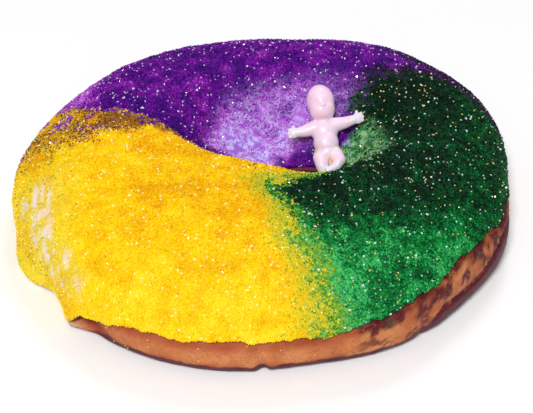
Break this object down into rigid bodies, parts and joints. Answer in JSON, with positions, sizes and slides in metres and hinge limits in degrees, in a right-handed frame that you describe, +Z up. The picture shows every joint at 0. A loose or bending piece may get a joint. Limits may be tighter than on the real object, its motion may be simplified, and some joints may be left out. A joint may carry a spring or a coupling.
{
  "type": "king cake",
  "caption": "Oval ring of sweet bread under icing and coloured sugar in purple, green and gold bands, with a small plastic baby lying in its hole.",
  "frame": {"origin": "centre of the footprint, on the surface the cake rests on", "axes": "+X along the cake's longest way, towards the end nearer the hole; +Y towards the side the baby's head lies on; +Z up"},
  "size_m": [0.2022, 0.1835, 0.0471],
  "materials": {
    "baked_dough": "matte",
    "sugared_icing": "satin",
    "pink_plastic": "gloss"
  },
  "bodies": {
    "root": {"dough": "baked_dough", "icing": "sugared_icing", "baby": "pink_plastic"}
  },
  "joints": []
}
